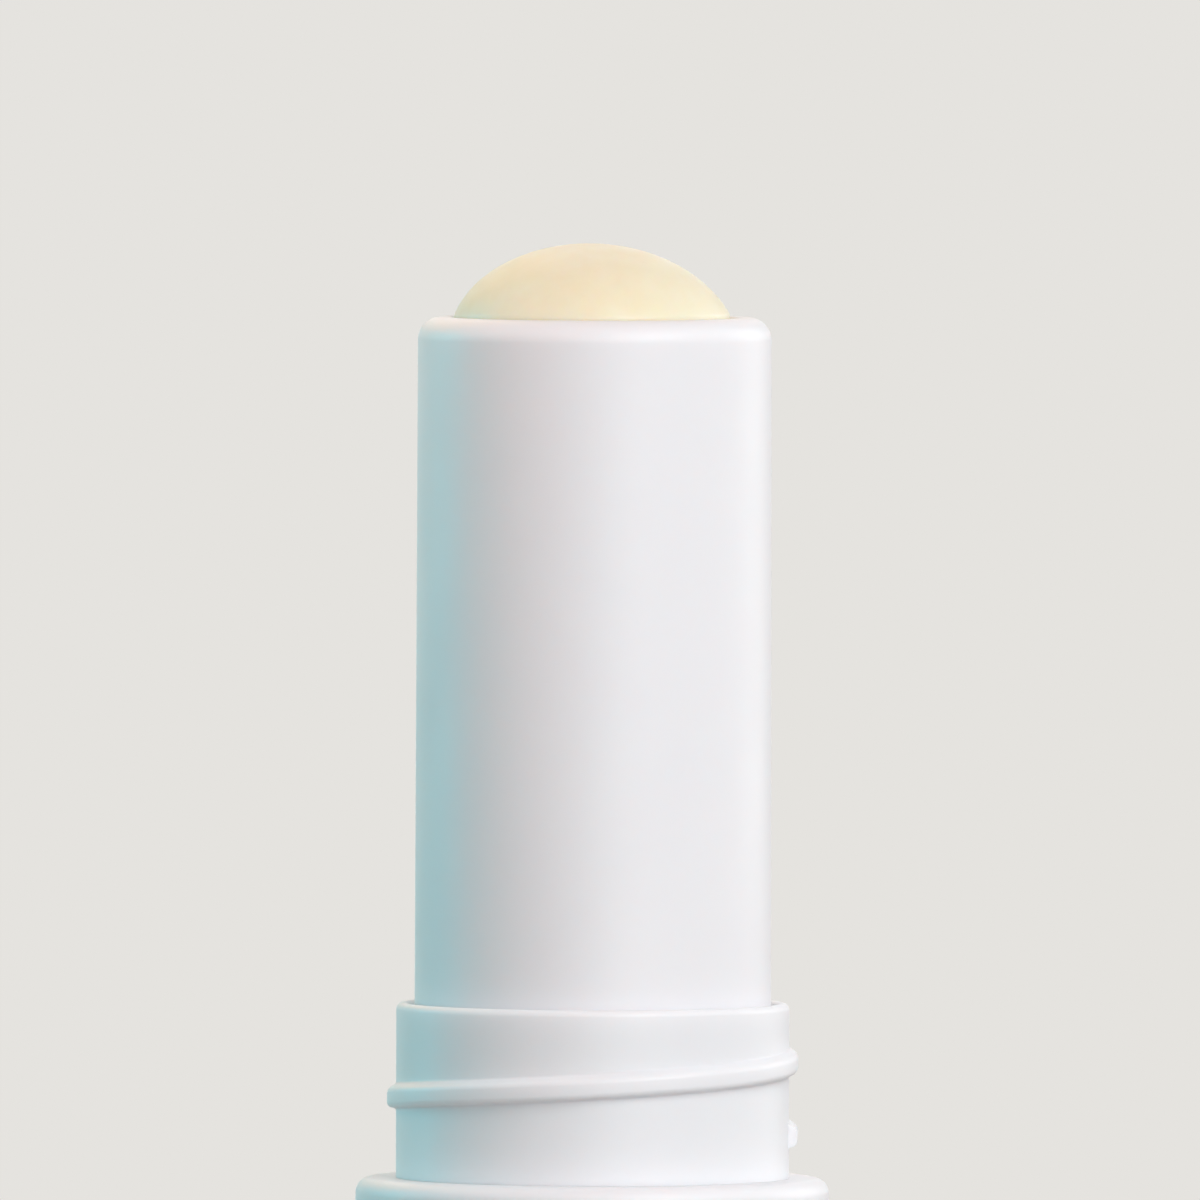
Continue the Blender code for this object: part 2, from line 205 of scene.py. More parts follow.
# A right-handed thread: its closed section swept up a helix. Over the turns in which an end
# fades, the section sinks into the wall.
def sweepThread(name, section, thread):
    piece = pullOutline(name, section + section[:1])
    bpy.ops.mesh.select_all(action="SELECT")
    bpy.ops.mesh.remove_doubles(threshold=mm(turning["mergeDistance"]))
    deselectAll()
    steps = round(thread["turns"] * thread["stepsPerTurn"])
    turns = steps / thread["stepsPerTurn"]
    helix = piece.modifiers.new("helix", "SCREW")
    helix.axis = "Z"
    helix.angle = math.tau * turns
    helix.screw_offset = mm(thread["lead"] * turns)
    helix.steps = steps
    helix.render_steps = steps
    helix.use_merge_vertices = False
    applyModifier(piece, helix)
    for index, vertex in enumerate(piece.data.vertices):
        ring = index // len(section)
        share = 1
        if thread["lowFadeTurns"]:
            share = min(share, ring / thread["stepsPerTurn"] / thread["lowFadeTurns"])
        if thread["highFadeTurns"]:
            share = min(share, (steps - ring) / thread["stepsPerTurn"] / thread["highFadeTurns"])
        sink = mm(thread["sink"]) * (1 - math.sin(math.radians(90) * share))
        reach = math.hypot(vertex.co.x, vertex.co.y)
        vertex.co.x *= (reach - sink) / reach
        vertex.co.y *= (reach - sink) / reach
    pick(piece)
    bpy.ops.object.mode_set(mode="EDIT")
    bpy.ops.mesh.select_all(action="SELECT")
    bpy.ops.mesh.fill_holes(sides=0)
    bpy.ops.mesh.select_all(action="SELECT")
    bpy.ops.mesh.normals_make_consistent(inside=False)
    deselectAll()
    piece.rotation_euler = (0, 0, math.radians(thread["startDegrees"]))
    pick(piece)
    bpy.ops.object.transform_apply(location=True, rotation=True, scale=True)
    return piece


# Materials

noiseSpan = (0.3, 0.7)        # nearly all of a noise's values lie in it
mixFirst, mixSecond = 6, 7    # a Mix node's two colours
mixResult = 2


# sRGB hex to linear light
def linear(hexColour):
    channels = [int(hexColour[i:i + 2], 16) / 255 for i in (1, 3, 5)]
    light = [c / 12.92 if c <= 0.04045 else ((c + 0.055) / 1.055) ** 2.4 for c in channels]
    return (*light, 1.0)


# cells per metre of a noise whose grains are this many millimetres
def grain(size):
    return 1000 / size


def addNode(tree, kind, settings=None, inputs=None, links=None):
    node = tree.nodes.new(kind)
    for name, value in (settings or {}).items():
        setattr(node, name, value)
    for name, value in (inputs or {}).items():
        node.inputs[name].default_value = value
    for name, source in (links or {}).items():
        tree.links.new(source, node.inputs[name])
    return node


def newMaterial(name):
    material = bpy.data.materials.new(name)
    material.use_nodes = True
    tree = material.node_tree
    place = addNode(tree, "ShaderNodeTexCoord").outputs["Object"]
    return material, tree, tree.nodes["Principled BSDF"], place


# what all the stick's materials end in: colour, gloss, relief and the light that they let in
def setSurface(tree, shader, look, tint, gloss, bump):
    tree.links.new(tint.outputs[mixResult], shader.inputs["Base Color"])
    tree.links.new(gloss.outputs["Result"], shader.inputs["Roughness"])
    tree.links.new(bump.outputs["Normal"], shader.inputs["Normal"])
    shader.inputs["IOR"].default_value = look["ior"]
    shader.inputs["Subsurface Weight"].default_value = look["scatter"]
    shader.inputs["Subsurface Radius"].default_value = look["scatterShares"]
    shader.inputs["Subsurface Scale"].default_value = mm(look["scatterReach"])


# Polypropylene, injection moulded in a polished tool: an even white that lets a little light in,
# a satin gloss, and a faint flow unevenness that softens what it reflects
polypropyleneLook = {
    "colour": "#F1F0F3",
    "denseColour": "#EDECF0",     # where the flow packed it denser
    "cloudSize": 6.0,
    "cloudDetail": 2.0,
    "roughness": (0.42, 0.50),
    "flowSize": 2.2,
    "flowDepth": 0.0015,
    "skinSize": 0.28,             # the tool's polish; the real one is finer than the render shows
    "skinDepth": 0.0004,
    "ior": 1.49,
    "scatter": 0.5,
    "scatterShares": (1.0, 0.8, 0.75),
    "scatterReach": 1.0,
}


def mouldedPlastic(name, look):
    material, tree, shader, place = newMaterial(name)
    cloud = addNode(
        tree, "ShaderNodeTexNoise", {},
        {"Scale": grain(look["cloudSize"]), "Detail": look["cloudDetail"]}, {"Vector": place})
    tint = addNode(
        tree, "ShaderNodeMix", {"data_type": "RGBA"},
        {mixFirst: linear(look["colour"]), mixSecond: linear(look["denseColour"])},
        {"Factor": cloud.outputs["Fac"]})
    gloss = addNode(
        tree, "ShaderNodeMapRange", {},
        {"From Min": noiseSpan[0], "From Max": noiseSpan[1],
         "To Min": look["roughness"][0], "To Max": look["roughness"][1]},
        {"Value": cloud.outputs["Fac"]})
    flow = addNode(
        tree, "ShaderNodeTexNoise", {}, {"Scale": grain(look["flowSize"])}, {"Vector": place})
    skin = addNode(
        tree, "ShaderNodeTexNoise", {}, {"Scale": grain(look["skinSize"])}, {"Vector": place})
    flowBump = addNode(
        tree, "ShaderNodeBump", {}, {"Distance": mm(look["flowDepth"])},
        {"Height": flow.outputs["Fac"]})
    skinBump = addNode(
        tree, "ShaderNodeBump", {}, {"Distance": mm(look["skinDepth"])},
        {"Height": skin.outputs["Fac"], "Normal": flowBump.outputs["Normal"]})
    setSurface(tree, shader, look, tint, gloss, skinBump)
    return material


# Wax and oil balm, poured hot into a domed mould: pale yellow and translucent, so that shadows
# on it stay soft, with faint mottling from its crystals and a slightly greasy sheen
balmLook = {
    "colour": "#F2EAD1",
    "mottleColour": "#EFE4C6",
    "cloudSize": 5.0,
    "mottleSize": 1.3,
    "detail": 3.0,                # of both
    "mottleSpan": (0.7, 1.3),     # of both added up, from the plain colour to the mottle's
    "mottleDepth": 0.0025,
    "crystalSize": 0.16,
    "crystalDepth": 0.0006,
    "roughness": (0.40, 0.50),
    "ior": 1.44,
    "scatter": 0.8,
    "scatterShares": (1.0, 0.75, 0.50),
    "scatterReach": 1.5,
}


def castWax(name, look):
    material, tree, shader, place = newMaterial(name)
    cloud = addNode(
        tree, "ShaderNodeTexNoise", {},
        {"Scale": grain(look["cloudSize"]), "Detail": look["detail"]}, {"Vector": place})
    mottle = addNode(
        tree, "ShaderNodeTexNoise", {},
        {"Scale": grain(look["mottleSize"]), "Detail": look["detail"]}, {"Vector": place})
    both = addNode(
        tree, "ShaderNodeMath", {"operation": "ADD"}, {},
        {0: cloud.outputs["Fac"], 1: mottle.outputs["Fac"]})
    spread = addNode(
        tree, "ShaderNodeMapRange", {},
        {"From Min": look["mottleSpan"][0], "From Max": look["mottleSpan"][1]},
        {"Value": both.outputs["Value"]})
    tint = addNode(
        tree, "ShaderNodeMix", {"data_type": "RGBA"},
        {mixFirst: linear(look["colour"]), mixSecond: linear(look["mottleColour"])},
        {"Factor": spread.outputs["Result"]})
    gloss = addNode(
        tree, "ShaderNodeMapRange", {},
        {"From Min": noiseSpan[0], "From Max": noiseSpan[1],
         "To Min": look["roughness"][0], "To Max": look["roughness"][1]},
        {"Value": mottle.outputs["Fac"]})
    crystals = addNode(
        tree, "ShaderNodeTexVoronoi", {"feature": "SMOOTH_F1"},
        {"Scale": grain(look["crystalSize"])}, {"Vector": place})
    softBump = addNode(
        tree, "ShaderNodeBump", {}, {"Distance": mm(look["mottleDepth"])},
        {"Height": mottle.outputs["Fac"]})
    crystalBump = addNode(
        tree, "ShaderNodeBump", {}, {"Distance": mm(look["crystalDepth"])},
        {"Height": crystals.outputs["Distance"], "Normal": softBump.outputs["Normal"]})
    setSurface(tree, shader, look, tint, gloss, crystalBump)
    return material


# Acetal, injection moulded: harder, slipperier and a little more ivory than the outer plastic
acetalLook = dict(
    polypropyleneLook, colour="#E6E4DC", denseColour="#E0DED5", roughness=(0.32, 0.40),
    scatter=0.3)
# Silicone rubber, compression moulded: milky, soft-looking and dull
siliconeLook = dict(
    polypropyleneLook, colour="#D9DBDC", denseColour="#D2D5D7", roughness=(0.48, 0.58),
    ior=1.41, scatter=0.6, scatterReach=1.4)

polypropylene = mouldedPlastic("mouldedPolypropylene", polypropyleneLook)
balmWax = castWax("castBalmWax", balmLook)
acetal = mouldedPlastic("mouldedAcetal", acetalLook)
silicone = mouldedPlastic("mouldedSilicone", siliconeLook)
print("materials made")

crispDegrees = 32             # faces that meet at more than this keep a crisp edge


# smooth faces with crisp corners, then material, body and the CAD node that the piece stands for
def finishPiece(piece, material, body, node):
    pick(piece)
    bpy.ops.object.shade_smooth_by_angle(angle=math.radians(crispDegrees))
    evenNormals = piece.modifiers.new("evenNormals", "WEIGHTED_NORMAL")
    evenNormals.keep_sharp = True
    applyModifier(piece, evenNormals)
    piece.data.materials.clear()
    piece.data.materials.append(material)
    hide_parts(node)
    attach(piece, body)
    print(piece.name, "made,", len(piece.data.polygons), "faces")


# The balm: a crown that is part of an ellipse, over a straight side. Its foot is slimmer, to sit
# in the cup.
balmStick = {
    "crownReach": 6.15,       # half the ellipse's width, more than the balm's radius
    "crownDepth": 4.50,       # half its height
    "edgeRound": 0.50,
    "footLength": 5.00,
    "footStep": 0.82,         # how much slimmer the foot is
    "gripRise": 2.00,         # a bead round the foot that locks it in the cup
    "gripWidth": 0.80,
    "gripDepth": 0.20,
    "boreRadius": 2.45,       # left by the screw
    "boreDepth": 35.55,
    "tipRadius": 0.90,
    "lean": 0.12,             # at the crown, to the left, within its clearance in the tube
    "crownShift": 0.13,       # its crown is cast this much off centre, to the left
    "crownSteps": 32,
    "sideBands": 6,
    "steps": 160,
}


def makeBalmStick(look):
    radius, low, top = nodeSizes("balm")
    reach = look["crownReach"]
    depth = look["crownDepth"]
    edgeAngle = math.asin(radius / reach)
    edgeHeight = top - depth * (1 - math.cos(edgeAngle))
    angles = [edgeAngle * index / look["crownSteps"] for index in range(look["crownSteps"])]
    crown = [(reach * math.sin(angle), top - depth * (1 - math.cos(angle))) for angle in angles]
    step = low + look["footLength"]
    foot = radius - look["footStep"]
    grip = low + look["gripRise"]
    boreTop = low + look["boreDepth"]
    side = [
        (radius, edgeHeight + (step - edgeHeight) * band / look["sideBands"])
        for band in range(1, look["sideBands"] + 1)]
    outline = roundedOutline(crown + [(radius, edgeHeight, look["edgeRound"])] + side + [
        (foot, step),
        (foot, grip + look["gripWidth"]),
        (foot + look["gripDepth"], grip + look["gripWidth"] - look["gripDepth"]),
        (foot + look["gripDepth"], grip + look["gripDepth"]),
        (foot, grip),
        (foot, low),
        (look["boreRadius"], low),
        (look["boreRadius"], boreTop - look["boreRadius"] + look["tipRadius"]),
        (look["tipRadius"], boreTop),
        (0, boreTop),
    ])
    piece = turnPiece("balmStick", outline, look["steps"])
    pick(piece)
    bpy.ops.object.mode_set(mode="EDIT")
    bpy.ops.mesh.select_all(action="SELECT")
    bpy.ops.transform.rotate(
        value=math.atan(look["lean"] / (top - step)), orient_axis="Y",
        center_override=(0, 0, mm(step)))
    deselectAll()
    for vertex in piece.data.vertices:
        above = (vertex.co.z - mm(edgeHeight)) / mm(top - edgeHeight)
        share = math.sin(math.radians(90) * max(0, min(1, above)))
        vertex.co.x -= mm(look["crownShift"]) * share
    return piece


finishPiece(makeBalmStick(balmStick), balmWax, "carriage", "balm")


# The outer tube: slightly tapered, with a large soft round on its rim and four blind grooves
# for the cup's lugs
outerTube = {
    "boreRadius": 5.93,
    "taper": 0.065,           # it is slimmer by this at the rim
    "taperFoot": 26.95,       # above its low end, level with the neck's lip
    "rimRound": 0.95,
    "innerRound": 0.18,
    "footChamfer": 0.30,
    "snapRise": 0.45,         # a groove that snaps over the spindle's bead
    "snapWidth": 1.10,
    "snapDepth": 0.35,
    "grooveCount": 4,
    "grooveDegrees": 0,
    "grooveDepth": 0.50,
    "grooveWidth": 1.50,
    "grooveStop": 3.20,       # below the rim
    "overrun": 0.50,          # what cuts them starts this far outside the piece
    "steps": 192,
}


def makeOuterTube(look):
    radius, low, rim = nodeSizes("guide_tube")
    bore = look["boreRadius"]
    snap = low + look["snapRise"]
    chamfer = look["footChamfer"]
    outline = roundedOutline([
        (bore, rim, look["innerRound"]),
        (radius - look["taper"], rim, look["rimRound"]),
        (radius, low + look["taperFoot"]),
        (radius, low + chamfer),
        (radius - chamfer, low),
        (bore + chamfer, low),
        (bore, low + chamfer),
        (bore, snap),
        (bore + look["snapDepth"], snap),
        (bore + look["snapDepth"], snap + look["snapWidth"]),
        (bore, snap + look["snapWidth"] + look["snapDepth"]),
    ])
    piece = turnPiece("outerTube", outline + outline[:1], look["steps"])
    grooves = blocksRound(
        "grooves", look["grooveCount"], look["grooveDegrees"],
        bore - look["overrun"], bore + look["grooveDepth"],
        low - look["overrun"], rim - look["grooveStop"], look["grooveWidth"])
    combine(piece, grooves, "DIFFERENCE")
    return piece


finishPiece(makeOuterTube(outerTube), polypropylene, "tube", "guide_tube")


# The neck: a thin collar with a full-round lip and the cap's thread, and a long sleeve inside
# the base
threadedNeck = {
    "tubeClearance": 0.17,
    "wall": 0.60,
    "lipSteps": 20,
    "footChamfer": 0.20,
    "snapRise": 14.70,        # a ridge on the sleeve that snaps into the base
    "snapWidth": 0.90,
    "snapHeight": 0.22,
    "notchCount": 4,          # they fit over the foot plug's keys
    "notchDegrees": 45,
    "notchHeight": 1.50,
    "notchWidth": 2.70,
    "overrun": 0.50,
    "collarBands": 8,
    "steps": 180,
}
capThread = {
    "rise": 1.78,             # of its crest's middle above the shoulder, at the right-hand side
    "height": 0.38,
    "crestHalf": 0.355,       # half the crest's width before it is rounded
    "rootAbove": 0.635,       # the upper flank slopes, the lower one is steep
    "rootBelow": 0.435,
    "crestHighRound": 0.32,
    "crestLowRound": 0.24,
    "fillet": 0.14,
    "skin": 0.004,            # the fillets run out this far under the wall
    "tail": 0.12,             # and the section goes on this far past them
    "bury": 0.06,             # its back lies this deep in the wall
    "lead": 3.05,
    "turns": 1.28,
    "startDegrees": -6,
    "lowFadeTurns": 0,        # it starts square, on the right-hand side
    "highFadeTurns": 0.06,
    "sink": 0.46,             # how far it sinks where it fades
    "stepsPerTurn": 180,
}


neckBore = nodeSizes("guide_tube")[0] + threadedNeck["tubeClearance"]
neckRadius = neckBore + threadedNeck["wall"]


def makeThreadedNeck(look, thread):
    low, lip = nodeSizes("threaded_neck")[1:]
    shoulder = nodeSizes("base_shell")[2]
    snap = low + look["snapRise"]
    chamfer = look["footChamfer"]
    half = look["wall"] / 2
    lipRound = arcPoints((neckRadius - half, lip - half), half, 180, 0, look["lipSteps"])
    collar = lipRound[-1][1] - shoulder
    bands = [
        (neckRadius, shoulder + collar * (1 - band / look["collarBands"]))
        for band in range(1, look["collarBands"] + 1)]
    outline = lipRound + bands + [
        (neckRadius, snap + look["snapWidth"]),
        (neckRadius + look["snapHeight"], snap + look["snapWidth"]),
        (neckRadius + look["snapHeight"], snap + look["snapHeight"]),
        (neckRadius, snap),
        (neckRadius, low + chamfer),
        (neckRadius - chamfer, low),
        (neckBore, low),
    ]
    piece = turnPiece("threadedNeck", outline + outline[:1], look["steps"])
    threadMiddle = shoulder + thread["rise"] + thread["lead"] * thread["startDegrees"] / 360
    section = threadSection(neckRadius, threadMiddle, thread)
    combine(piece, sweepThread("capThread", section, thread), "UNION")
    notches = blocksRound(
        "notches", look["notchCount"], look["notchDegrees"],
        neckBore - look["overrun"], neckRadius + look["overrun"],
        low - look["overrun"], low + look["notchHeight"], look["notchWidth"])
    combine(piece, notches, "DIFFERENCE")
    return piece


finishPiece(
    makeThreadedNeck(threadedNeck, capThread), polypropylene, "base",
    "threaded_neck")


# The base: a thick-walled shell, held in the hand while the tube is twisted
baseShell = {
    "neckClearance": 0.12,
    "lipClearance": 0.01,     # a thin lip closes the gap round the neck at the shoulder
    "lipDepth": 0.40,
    "shoulderRound": 0.65,
    "footRound": 0.50,
    "footRingWall": 1.23,
    "footEdge": 0.10,
    "ledge": 1.80,            # the foot plug's flange stops just under it
    "snapHeight": 19.85,      # a groove for the ridge on the neck's sleeve
    "snapWidth": 1.20,
    "snapDepth": 0.22,
    "steps": 192,
}


def makeBaseShell(look):
    radius, low, top = nodeSizes("base_shell")
    bore = neckRadius + look["neckClearance"]
    lip = neckRadius + look["lipClearance"]
    counterbore = radius - look["footRingWall"]
    outline = roundedOutline([
        (lip, top),
        (radius, top, look["shoulderRound"]),
        (radius, low, look["footRound"]),
        (counterbore, low, look["footEdge"]),
        (counterbore, look["ledge"]),
        (bore, look["ledge"]),
        (bore, look["snapHeight"]),
        (bore + look["snapDepth"], look["snapHeight"] + look["snapDepth"]),
        (bore + look["snapDepth"], look["snapHeight"] + look["snapWidth"]),
        (bore, look["snapHeight"] + look["snapWidth"]),
        (bore, top - look["lipDepth"]),
        (lip, top - look["lipDepth"] + look["neckClearance"] - look["lipClearance"]),
    ])
    return turnPiece("baseShell", outline + outline[:1], look["steps"])


finishPiece(makeBaseShell(baseShell), polypropylene, "base", "base_shell")


# The foot plug: a flanged cap, ribbed inside, with a six-sided socket for the spindle and keys
# for the neck
footPlug = {
    "floor": 1.20,            # its thickness
    "wallTop": 5.00,
    "flangeStep": 0.34,       # how far the flange stands out from the wall
    "rimWall": 1.00,
    "edgeRound": 0.15,
    "bossRadius": 3.95,       # round the socket
    "keyCount": 4,
    "keyDegrees": 45,
    "keyInner": 7.735,
    "keyOuter": 8.185,
    "keyWidth": 2.40,
    "ribCount": 6,
    "ribDegrees": 0,
    "ribWidth": 0.90,
    "ribDrop": 0.60,          # below the wall's top
    "socketSides": 6,
    "socketRadius": 2.75,
    "socketLow": 1.80,
    "dishRadius": 6.90,       # a shallow dish in its underside, deeper than the gate's nub
    "dishDepth": 0.12,
    "gateRadius": 0.75,       # the nub left where the tool's gate broke off
    "gateHeight": 0.07,
    "overrun": 0.50,
    "steps": 128,
}


def makeFootPlug(look):
    flange, low, keyTop = nodeSizes("foot_plug")
    radius = flange - look["flangeStep"]
    floor = low + look["floor"]
    top = look["wallTop"]
    dish = low + look["dishDepth"]
    edge = look["edgeRound"]
    outline = roundedOutline([
        (0, top),
        (look["bossRadius"], top, edge),
        (look["bossRadius"], floor),
        (radius - look["rimWall"], floor),
        (radius - look["rimWall"], top, edge),
        (radius, top, edge),
        (radius, floor),
        (flange, floor, edge),
        (flange, low, edge),
        (look["dishRadius"] + look["dishDepth"], low),
        (look["dishRadius"], dish),
        (look["gateRadius"], dish),
        (look["gateRadius"], dish - look["gateHeight"], look["gateHeight"] / 2),
        (0, dish - look["gateHeight"]),
    ])
    piece = turnPiece("footPlug", outline, look["steps"])
    keys = blocksRound(
        "keys", look["keyCount"], look["keyDegrees"], look["keyInner"], look["keyOuter"],
        top - look["overrun"], keyTop, look["keyWidth"])
    combine(piece, keys, "UNION")
    ribs = blocksRound(
        "ribs", look["ribCount"], look["ribDegrees"],
        look["bossRadius"] - look["overrun"], radius - look["rimWall"] + look["overrun"],
        floor - look["overrun"], top - look["ribDrop"], look["ribWidth"])
    combine(piece, ribs, "UNION")
    depth = top + look["overrun"] - look["socketLow"]
    socket = flatSidedBar(look["socketSides"], look["socketRadius"], look["socketLow"], depth)
    combine(piece, socket, "DIFFERENCE")
    return piece


finishPiece(makeFootPlug(footPlug), polypropylene, "base", "foot_plug")


# The screw spindle: it is fixed in the base by a six-sided foot. The tube snaps over its head
# and turns on it, against the friction ring in the head's groove. The cup's nut climbs its screw.
screwSpindle = {
    "footSides": 6,
    "footLength": 3.20,       # below the flange
    "footRadius": 2.60,
    "footRound": 0.12,
    "footRoundSteps": 3,
    "flange": 0.80,
    "headHeight": 3.80,
    "headRadius": 5.78,
    "edgeRound": 0.12,
    "beadRise": 0.90,         # the bead that the tube snaps over
    "beadWidth": 0.80,
    "beadHeight": 0.35,
    "beadRound": 0.06,
    "seatDrop": 0.60,         # the ring's groove, below the head's top
    "seatWidth": 1.30,
    "seatRadius": 4.63,
    "coreRadius": 1.45,
    "coreFlare": 0.60,
    "tipRadius": 0.90,
    "tipLength": 1.00,
    "screwGap": 1.20,         # from each end of the core to the middle of the thread's end there
    "steps": 96,
}
# its values mean the same as the cap thread's
screwThread = {
    "height": 0.75,
    "crestHalf": 0.50,
    "rootAbove": 0.85,
    "rootBelow": 0.85,
    "crestHighRound": 0.12,
    "crestLowRound": 0.12,
    "fillet": 0.15,
    "skin": 0.004,
    "tail": 0.05,
    "bury": 0.30,
    "lead": 4.00,
    "startDegrees": 0,
    "lowFadeTurns": 0.12,
    "highFadeTurns": 0.12,
    "sink": 0.85,
    "stepsPerTurn": 64,
}


# where the helix that the screw and the nut share crosses the side that looks along +X
def helixStart(look):
    low = nodeSizes("screw_spindle")[1]
    return low + look["footLength"] + look["flange"] + look["headHeight"] + look["screwGap"]


def makeScrewSpindle(look, thread):
    flangeRadius, low, top = nodeSizes("screw_spindle")
    flangeLow = low + look["footLength"]
    flangeTop = flangeLow + look["flange"]
    headTop = flangeTop + look["headHeight"]
    head = look["headRadius"]
    edge = look["edgeRound"]
    beadLow = flangeTop + look["beadRise"]
    beadTop = beadLow + look["beadWidth"]
    bead = head + look["beadHeight"]
    seatTop = headTop - look["seatDrop"]
    screwTop = top - look["tipLength"]
    outline = roundedOutline([
        (0, top),
        (look["tipRadius"], top, edge),
        (look["coreRadius"], screwTop),
        (look["coreRadius"], headTop, look["coreFlare"]),
        (head, headTop, edge),
        (head, seatTop),
        (look["seatRadius"], seatTop, edge),
        (look["seatRadius"], seatTop - look["seatWidth"], edge),
        (head, seatTop - look["seatWidth"]),
        (head, beadTop),
        (bead, beadTop - look["beadHeight"], look["beadRound"]),
        (bead, beadLow, look["beadRound"]),
        (head, beadLow),
        (head, flangeTop, edge),
        (flangeRadius, flangeTop, edge),
        (flangeRadius, flangeLow, edge),
        (0, flangeLow),
    ])
    piece = turnPiece("screwSpindle", outline, look["steps"])
    screw = dict(thread, turns=(screwTop - headTop - 2 * look["screwGap"]) / thread["lead"])
    section = threadSection(look["coreRadius"], helixStart(look), screw)
    combine(piece, sweepThread("screwThread", section, screw), "UNION")
    depth = look["footLength"] + look["flange"] / 2
    foot = flatSidedBar(look["footSides"], look["footRadius"], low, depth)
    soften(foot, look["footRound"], look["footRoundSteps"])
    combine(piece, foot, "UNION")
    return piece


finishPiece(
    makeScrewSpindle(screwSpindle, screwThread), acetal, "base",
    "screw_spindle")


# The balm's cup: keyed to the tube by four lugs, with the nut under its floor
balmCup = {
    "radius": 5.78,
    "wall": 0.65,
    "footRound": 0.50,
    "edgeRound": 0.12,
    "nutLength": 6.00,
    "nutRadius": 3.30,
    "nutFillet": 0.40,
    "floor": 1.00,            # its thickness
    "gripRise": 2.15,         # an undercut that the balm's foot locks into
    "gripWidth": 0.80,
    "gripDepth": 0.20,
    "lugCount": 4,
    "lugDegrees": 0,
    "lugLow": 0.50,           # above the cup's foot
    "lugTop": 0.50,           # below its rim
    "lugWidth": 1.20,
    "lugRound": 0.15,
    "lugRoundSteps": 4,
    "lugBury": 0.30,
    "threadClearance": 0.20,
    "steps": 96,
}


def makeBalmCup(look, spindle, thread):
    lugReach, nutLow, top = nodeSizes("balm_cup")
    radius = look["radius"]
    edge = look["edgeRound"]
    inner = radius - look["wall"]
    low = nutLow + look["nutLength"]
    floor = low + look["floor"]
    nutBore = spindle["coreRadius"] + look["threadClearance"]
    grip = floor + look["gripRise"]
    outline = roundedOutline([
        (inner, top, edge),
        (radius, top, edge),
        (radius, low, look["footRound"]),
        (look["nutRadius"], low, look["nutFillet"]),
        (look["nutRadius"], nutLow, edge),
        (nutBore, nutLow, edge),
        (nutBore, floor, edge),
        (inner, floor, edge),
        (inner, grip),
        (inner + look["gripDepth"], grip + look["gripDepth"]),
        (inner + look["gripDepth"], grip + look["gripWidth"] - look["gripDepth"]),
        (inner, grip + look["gripWidth"]),
    ])
    piece = turnPiece("balmCup", outline + outline[:1], look["steps"])
    lugs = blocksRound(
        "lugs", look["lugCount"], look["lugDegrees"], radius - look["lugBury"], lugReach,
        low + look["lugLow"], top - look["lugTop"], look["lugWidth"])
    soften(lugs, look["lugRound"], look["lugRoundSteps"])
    combine(piece, lugs, "UNION")
    # the nut's thread is the screw's, wider all round by the clearance
    wider = dict(thread, lowFadeTurns=0, highFadeTurns=0)
    for side in ("crestHalf", "rootAbove", "rootBelow"):
        wider[side] += look["threadClearance"]
    start = helixStart(spindle)
    wider["turns"] = (floor + thread["lead"] - start) / thread["lead"]
    section = threadSection(nutBore, start, wider)
    combine(piece, sweepThread("nutThread", section, wider), "DIFFERENCE")
    return piece


finishPiece(
    makeBalmCup(balmCup, screwSpindle, screwThread), acetal, "carriage",
    "balm_cup")


# The friction ring: round in section, with the mould's fine flash round its inside and outside
frictionRing = {
    "flashHeight": 0.03,
    "flashWidth": 0.08,
    "halfSteps": 14,
    "steps": 120,
}


def makeFrictionRing(look):
    outer, low, high = nodeSizes("friction_ring")
    section = (high - low) / 2
    centre = (outer - section, (low + high) / 2)
    flash = section + look["flashHeight"]
    edge = math.degrees(math.asin(look["flashWidth"] / 2 / section))
    outline = (
        [(centre[0] + flash, centre[1])]
        + arcPoints(centre, section, edge, 180 - edge, look["halfSteps"])
        + [(centre[0] - flash, centre[1])]
        + arcPoints(centre, section, 180 + edge, 360 - edge, look["halfSteps"]))
    return turnPiece("frictionRing", outline + outline[:1], look["steps"])


finishPiece(makeFrictionRing(frictionRing), silicone, "base", "friction_ring")


# Floor, backdrop and lights
studio = {
    "backdrop": "#E5E3DF",
    "backdropStrength": 1.0,
    "ambient": "#FFFFFF",
    "ambientStrength": 0.192,
    "floor": "#E5E3DF",
    "floorBounce": "#969593",     # what it throws back at the stick, less than it shows
    "floorEvenness": 0.6,         # how far lamps and shadows are left out of its look
    "floorRoughness": 0.85,
    "floorRadius": 450,           # its far edge stays below the photograph's frame
    "floorSides": 192,
    "floorDrop": 0.02,            # under the stick's foot
    "paintSize": 1.5,             # the roller's dimples
    "paintDetail": 3.0,
    "paintDepth": 0.005,
}
# a wide soft lamp: the height it aims at is on the stick's axis
softLamp = {
    "elevation": 12,
    "distance": 700,
    "aimHeight": 45,
    "size": 450,
    "colour": "#FFFFFF",
}
# azimuth is from the camera's side, and minus is to the left
lamps = {
    "key": dict(softLamp, azimuth=40, elevation=35, watts=2.70),
    "frontFill": dict(softLamp, azimuth=20, watts=1.60),
    "rightFill": dict(softLamp, azimuth=125, watts=1.2),
    "back": dict(softLamp, azimuth=180, elevation=25, watts=0.32),
    "backLeft": dict(softLamp, azimuth=-150, watts=0.14),
    "backWarm": dict(softLamp, azimuth=-150, elevation=35, watts=0.78, colour="#FFBC60"),
    # small and close, so it fades down the tube
    "warmLeft": dict(
        softLamp, azimuth=-75, elevation=38, distance=57, aimHeight=60, size=40, watts=0.0075,
        colour="#FFB395"),
    # it tints the left edge, as in the photograph
    "cyanLeft": dict(softLamp, azimuth=-112, watts=1.80, colour="#00EFFF"),
}


